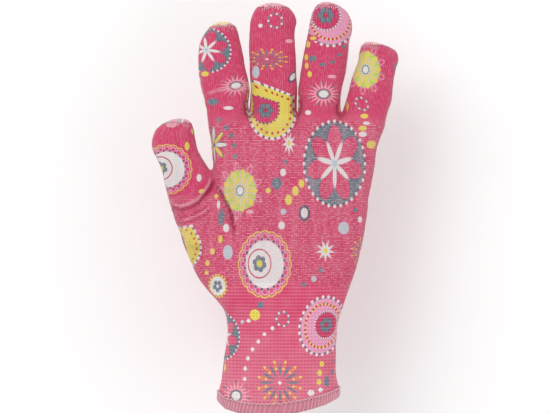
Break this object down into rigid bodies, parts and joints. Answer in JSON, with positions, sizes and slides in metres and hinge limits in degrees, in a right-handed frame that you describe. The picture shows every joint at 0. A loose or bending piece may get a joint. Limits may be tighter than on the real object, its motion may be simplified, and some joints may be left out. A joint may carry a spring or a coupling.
{
  "type": "gardening glove",
  "caption": "Right-hand seamless knitted garden glove with an all-over flower print, a thin coating on the palm side, a knitted cuff and an overlocked hem.",
  "frame": {"origin": "a point on the flat underside of the palm coating, in the middle of the hand", "axes": "+Y along the hand to the fingertips, +Z out of the back of the hand, +X to the little finger"},
  "size_m": [0.1366, 0.2289, 0.0378],
  "materials": {
    "printed_knit": "matte",
    "cuff_knit": "matte",
    "coating": "satin",
    "elastic": "matte",
    "thread": "matte"
  },
  "bodies": {
    "hand": {"four_finger_palm_knit": "printed_knit", "five_finger_palm_knit": "printed_knit", "cuff_knit": "cuff_knit", "thumb_gusset_knit": "printed_knit", "four_finger_palm_coating": "coating", "five_finger_palm_coating": "coating", "thumb_gusset_coating": "coating", "cuff_elastic": "elastic", "hem_overlock": "thread"},
    "index_root": {"index_root_knit": "printed_knit", "index_root_coating": "coating"},
    "index_mid": {"index_mid_knit": "printed_knit", "index_mid_coating": "coating"},
    "index_tip": {"index_tip_knit": "printed_knit", "index_tip_coating": "coating", "index_tip_stitch": "thread"},
    "middle_root": {"middle_root_knit": "printed_knit", "middle_root_coating": "coating"},
    "middle_mid": {"middle_mid_knit": "printed_knit", "middle_mid_coating": "coating"},
    "middle_tip": {"middle_tip_knit": "printed_knit", "middle_tip_coating": "coating", "middle_tip_stitch": "thread"},
    "ring_root": {"ring_root_knit": "printed_knit", "ring_root_coating": "coating"},
    "ring_mid": {"ring_mid_knit": "printed_knit", "ring_mid_coating": "coating"},
    "ring_tip": {"ring_tip_knit": "printed_knit", "ring_tip_coating": "coating", "ring_tip_stitch": "thread"},
    "little_root": {"little_root_knit": "printed_knit", "little_root_coating": "coating"},
    "little_mid": {"little_mid_knit": "printed_knit", "little_mid_coating": "coating"},
    "little_tip": {"little_tip_knit": "printed_knit", "little_tip_coating": "coating", "little_tip_stitch": "thread"},
    "thumb_root": {"thumb_root_knit": "printed_knit", "thumb_root_coating": "coating"},
    "thumb_tip": {"thumb_tip_knit": "printed_knit", "thumb_tip_coating": "coating", "thumb_tip_stitch": "thread"}
  },
  "joints": [
    {"name": "index_root_bend", "type": "hinge", "parent": "hand", "child": "index_root", "pos_m": [-0.02752, 0.051, 0.0103], "axis": [-1, 0, 0], "range_deg": [0, 75], "stiffness_Nm_per_rad": 0.006},
    {"name": "index_mid_bend", "type": "hinge", "parent": "index_root", "child": "index_mid", "pos_m": [-0.03007, 0.0729, 0.0103], "axis": [-0.9987, -0.0506, 0], "range_deg": [0, 85], "stiffness_Nm_per_rad": 0.004},
    {"name": "index_tip_bend", "type": "hinge", "parent": "index_mid", "child": "index_tip", "pos_m": [-0.03061, 0.08889, 0.0103], "axis": [-0.9987, -0.0506, 0], "range_deg": [0, 40], "stiffness_Nm_per_rad": 0.003},
    {"name": "middle_root_bend", "type": "hinge", "parent": "hand", "child": "middle_root", "pos_m": [-0.0011, 0.051, 0.0103], "axis": [-1, 0, 0], "range_deg": [0, 75], "stiffness_Nm_per_rad": 0.006},
    {"name": "middle_mid_bend", "type": "hinge", "parent": "middle_root", "child": "middle_mid", "pos_m": [-0.0011, 0.077, 0.0103], "axis": [-1, 0, 0], "range_deg": [0, 85], "stiffness_Nm_per_rad": 0.004},
    {"name": "middle_tip_bend", "type": "hinge", "parent": "middle_mid", "child": "middle_tip", "pos_m": [-0.0011, 0.096, 0.0103], "axis": [-1, 0, 0], "range_deg": [0, 40], "stiffness_Nm_per_rad": 0.003},
    {"name": "ring_root_bend", "type": "hinge", "parent": "hand", "child": "ring_root", "pos_m": [0.02566, 0.051, 0.0103], "axis": [-1, 0, 0], "range_deg": [0, 75], "stiffness_Nm_per_rad": 0.006},
    {"name": "ring_mid_bend", "type": "hinge", "parent": "ring_root", "child": "ring_mid", "pos_m": [0.0281, 0.07688, 0.0103], "axis": [-0.9956, 0.0941, 0], "range_deg": [0, 85], "stiffness_Nm_per_rad": 0.004},
    {"name": "ring_tip_bend", "type": "hinge", "parent": "ring_mid", "child": "ring_tip", "pos_m": [0.02989, 0.0958, 0.0103], "axis": [-0.9956, 0.0941, 0], "range_deg": [0, 40], "stiffness_Nm_per_rad": 0.003},
    {"name": "little_root_bend", "type": "hinge", "parent": "hand", "child": "little_root", "pos_m": [0.05161, 0.051, 0.0103], "axis": [-1, 0, 0], "range_deg": [0, 70], "stiffness_Nm_per_rad": 0.006},
    {"name": "little_mid_bend", "type": "hinge", "parent": "little_root", "child": "little_mid", "pos_m": [0.05467, 0.06833, 0.0103], "axis": [-0.9848, 0.1736, 0], "range_deg": [0, 80], "stiffness_Nm_per_rad": 0.004},
    {"name": "little_tip_bend", "type": "hinge", "parent": "little_mid", "child": "little_tip", "pos_m": [0.05686, 0.08074, 0.0103], "axis": [-0.9848, 0.1736, 0], "range_deg": [0, 35], "stiffness_Nm_per_rad": 0.003},
    {"name": "thumb_root_bend", "type": "hinge", "parent": "hand", "child": "thumb_root", "pos_m": [-0.048, 0.009, 0.0113], "axis": [-0.989, -0.1478, 0], "range_deg": [0, 50], "stiffness_Nm_per_rad": 0.006},
    {"name": "thumb_tip_bend", "type": "hinge", "parent": "thumb_root", "child": "thumb_tip", "pos_m": [-0.05425, 0.02728, 0.0113], "axis": [-0.989, -0.1478, 0], "range_deg": [0, 60], "stiffness_Nm_per_rad": 0.003}
  ]
}
